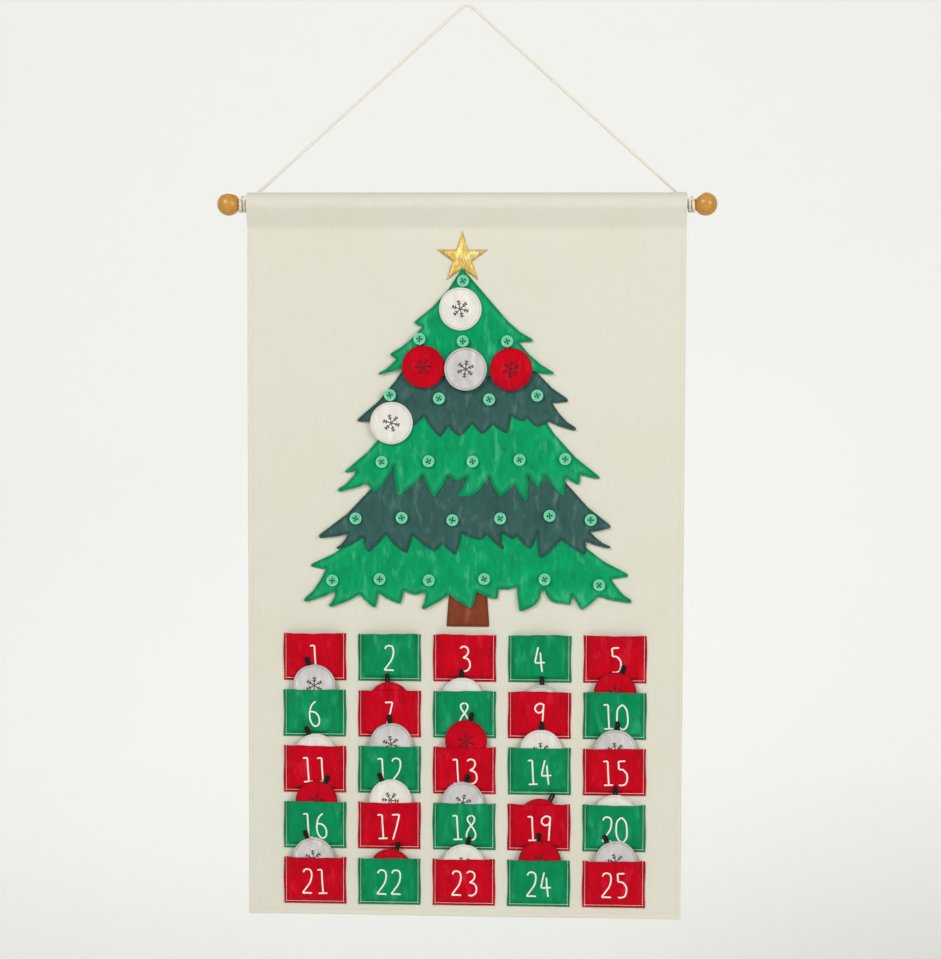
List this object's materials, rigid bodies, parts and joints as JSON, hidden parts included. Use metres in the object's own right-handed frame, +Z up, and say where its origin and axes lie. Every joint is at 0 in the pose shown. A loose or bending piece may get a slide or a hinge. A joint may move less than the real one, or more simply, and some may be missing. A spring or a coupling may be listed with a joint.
{
  "type": "fabric advent calendar",
  "caption": "Hanging canvas banner on a turned rod and cord, with a felt tree, sewn buttons, numbered pockets and round looped ornaments.",
  "frame": {"origin": "the point where the cord hangs on its hook, at the underside of the cord's bend", "axes": "+Z up, the front faces -Y, +X to the right as seen from the front"},
  "size_m": [0.52, 0.03, 0.9584],
  "materials": {
    "canvas": "off-white cotton canvas, plain weave, unbleached",
    "rod_wood": "turned softwood with a honey varnish",
    "cord_cotton": "three-strand twisted cotton cord",
    "felt_bright_green": "pressed felt",
    "felt_dark_green": "pressed felt",
    "felt_brown": "pressed felt",
    "star_gold": "gold metallic cloth over a thin pad",
    "felt_red": "pressed felt",
    "felt_white": "pressed felt",
    "felt_grey": "pressed felt, marled",
    "button_mint": "moulded plastic, pearly",
    "elastic_black": "flat braided elastic",
    "thread": "sewing thread",
    "thread_dark": "sewing thread in the colour of the felt or darker",
    "print_cream": "fabric paint, brushed on by hand",
    "print_dark": "fabric paint, brushed on by hand"
  },
  "bodies": {
    "hanger": {"hanging_rod": "rod_wood", "hanging_cord": "cord_cotton"},
    "banner": {"canvas_banner": "canvas", "tree_tier_1": "felt_bright_green", "tree_tier_2": "felt_dark_green", "tree_tier_3": "felt_bright_green", "tree_tier_4": "felt_dark_green", "tree_tier_5": "felt_bright_green", "tree_trunk": "felt_brown", "tree_star": "star_gold", "pocket_01": "felt_red", "pocket_02": "felt_bright_green", "pocket_03": "felt_red", "pocket_04": "felt_bright_green", "pocket_05": "felt_red", "pocket_06": "felt_bright_green", "pocket_07": "felt_red", "pocket_08": "felt_bright_green", "pocket_09": "felt_red", "pocket_10": "felt_bright_green", "pocket_11": "felt_red", "pocket_12": "felt_bright_green", "pocket_13": "felt_red", "pocket_14": "felt_bright_green", "pocket_15": "felt_red", "pocket_16": "felt_bright_green", "pocket_17": "felt_red", "pocket_18": "felt_bright_green", "pocket_19": "felt_red", "pocket_20": "felt_bright_green", "pocket_21": "felt_red", "pocket_22": "felt_bright_green", "pocket_23": "felt_red", "pocket_24": "felt_bright_green", "pocket_25": "felt_red"},
    "ornament_01": {"ornament_01": "felt_white"},
    "ornament_02": {"ornament_02": "felt_red"},
    "ornament_03": {"ornament_03": "felt_grey"},
    "ornament_04": {"ornament_04": "felt_red"},
    "ornament_05": {"ornament_05": "felt_white"},
    "ornament_06": {"ornament_06": "felt_grey"},
    "ornament_07": {"ornament_07": "felt_red"},
    "ornament_08": {"ornament_08": "felt_white"},
    "ornament_09": {"ornament_09": "felt_grey"},
    "ornament_10": {"ornament_10": "felt_red"},
    "ornament_11": {"ornament_11": "felt_white"},
    "ornament_12": {"ornament_12": "felt_grey"},
    "ornament_13": {"ornament_13": "felt_red"},
    "ornament_14": {"ornament_14": "felt_white"},
    "ornament_15": {"ornament_15": "felt_grey"},
    "ornament_16": {"ornament_16": "felt_red"},
    "ornament_17": {"ornament_17": "felt_white"},
    "ornament_18": {"ornament_18": "felt_grey"},
    "ornament_19": {"ornament_19": "felt_red"},
    "ornament_20": {"ornament_20": "felt_white"},
    "ornament_21": {"ornament_21": "felt_grey"},
    "ornament_22": {"ornament_22": "felt_red"},
    "ornament_23": {"ornament_23": "felt_white"},
    "ornament_24": {"ornament_24": "felt_red"},
    "ornament_25": {"ornament_25": "felt_grey"}
  },
  "joints": [
    {"name": "banner_swing", "type": "hinge", "parent": "hanger", "child": "banner", "pos_m": [0, -0.0143, -0.205], "axis": [-1, 0, 0], "range_deg": [0, 60]},
    {"name": "ornament_01_sway", "type": "hinge", "parent": "banner", "child": "ornament_01", "pos_m": [-0.00264, -0.01656, -0.28478], "axis": [0, 0.9996, -0.0286], "range_deg": [-35.5, 24.5]},
    {"name": "ornament_02_sway", "type": "hinge", "parent": "banner", "child": "ornament_02", "pos_m": [-0.04776, -0.01828, -0.34508], "axis": [0, 0.9996, -0.0286], "range_deg": [-22, 38]},
    {"name": "ornament_03_sway", "type": "hinge", "parent": "banner", "child": "ornament_03", "pos_m": [-0.00264, -0.01835, -0.34735], "axis": [0, 0.9996, -0.0286], "range_deg": [-24, 36]},
    {"name": "ornament_04_sway", "type": "hinge", "parent": "banner", "child": "ornament_04", "pos_m": [0.04344, -0.01835, -0.34735], "axis": [0, 0.9996, -0.0286], "range_deg": [-22, 38]},
    {"name": "ornament_05_sway", "type": "hinge", "parent": "banner", "child": "ornament_05", "pos_m": [-0.07857, -0.01735, -0.40351], "axis": [0, 0.9996, -0.0286], "range_deg": [-27, 33]},
    {"name": "ornament_06_slide", "type": "slide", "parent": "banner", "child": "ornament_06", "axis": [0, -0.0703, 0.9975], "range_m": [-0.02538, 0.01803]},
    {"name": "ornament_07_slide", "type": "slide", "parent": "banner", "child": "ornament_07", "axis": [0, -0.0703, 0.9975], "range_m": [-0.00733, 0.03608]},
    {"name": "ornament_08_slide", "type": "slide", "parent": "banner", "child": "ornament_08", "axis": [0, -0.0703, 0.9975], "range_m": [-0.01274, 0.03066]},
    {"name": "ornament_09_slide", "type": "slide", "parent": "banner", "child": "ornament_09", "axis": [0, -0.0703, 0.9975], "range_m": [-0.00598, 0.03743]},
    {"name": "ornament_10_slide", "type": "slide", "parent": "banner", "child": "ornament_10", "axis": [0, -0.0703, 0.9975], "range_m": [-0.01996, 0.02344]},
    {"name": "ornament_11_slide", "type": "slide", "parent": "banner", "child": "ornament_11", "axis": [0, -0.0703, 0.9975], "range_m": [-0.01139, 0.03202]},
    {"name": "ornament_12_slide", "type": "slide", "parent": "banner", "child": "ornament_12", "axis": [0, -0.0703, 0.9975], "range_m": [-0.02357, 0.01983]},
    {"name": "ornament_13_slide", "type": "slide", "parent": "banner", "child": "ornament_13", "axis": [0, -0.0703, 0.9975], "range_m": [-0.02763, 0.01578]},
    {"name": "ornament_14_slide", "type": "slide", "parent": "banner", "child": "ornament_14", "axis": [0, -0.0703, 0.9975], "range_m": [-0.01816, 0.02525]},
    {"name": "ornament_15_slide", "type": "slide", "parent": "banner", "child": "ornament_15", "axis": [0, -0.0703, 0.9975], "range_m": [-0.01906, 0.02435]},
    {"name": "ornament_16_slide", "type": "slide", "parent": "banner", "child": "ornament_16", "axis": [0, -0.0703, 0.9975], "range_m": [-0.02086, 0.02254]},
    {"name": "ornament_17_slide", "type": "slide", "parent": "banner", "child": "ornament_17", "axis": [0, -0.0703, 0.9975], "range_m": [-0.02357, 0.01983]},
    {"name": "ornament_18_slide", "type": "slide", "parent": "banner", "child": "ornament_18", "axis": [0, -0.0703, 0.9975], "range_m": [-0.02177, 0.02164]},
    {"name": "ornament_19_slide", "type": "slide", "parent": "banner", "child": "ornament_19", "axis": [0, -0.0703, 0.9975], "range_m": [-0.00462, 0.03878]},
    {"name": "ornament_20_slide", "type": "slide", "parent": "banner", "child": "ornament_20", "axis": [0, -0.0703, 0.9975], "range_m": [-0.01004, 0.03337]},
    {"name": "ornament_21_slide", "type": "slide", "parent": "banner", "child": "ornament_21", "axis": [0, -0.0703, 0.9975], "range_m": [-0.01996, 0.02344]},
    {"name": "ornament_22_slide", "type": "slide", "parent": "banner", "child": "ornament_22", "axis": [0, -0.0703, 0.9975], "range_m": [-0.00868, 0.03472]},
    {"name": "ornament_23_slide", "type": "slide", "parent": "banner", "child": "ornament_23", "axis": [0, -0.0703, 0.9975], "range_m": [-0.015, 0.02841]},
    {"name": "ornament_24_slide", "type": "slide", "parent": "banner", "child": "ornament_24", "axis": [0, -0.0703, 0.9975], "range_m": [-0.01951, 0.02389]},
    {"name": "ornament_25_slide", "type": "slide", "parent": "banner", "child": "ornament_25", "axis": [0, -0.0703, 0.9975], "range_m": [-0.02041, 0.02299]}
  ]
}
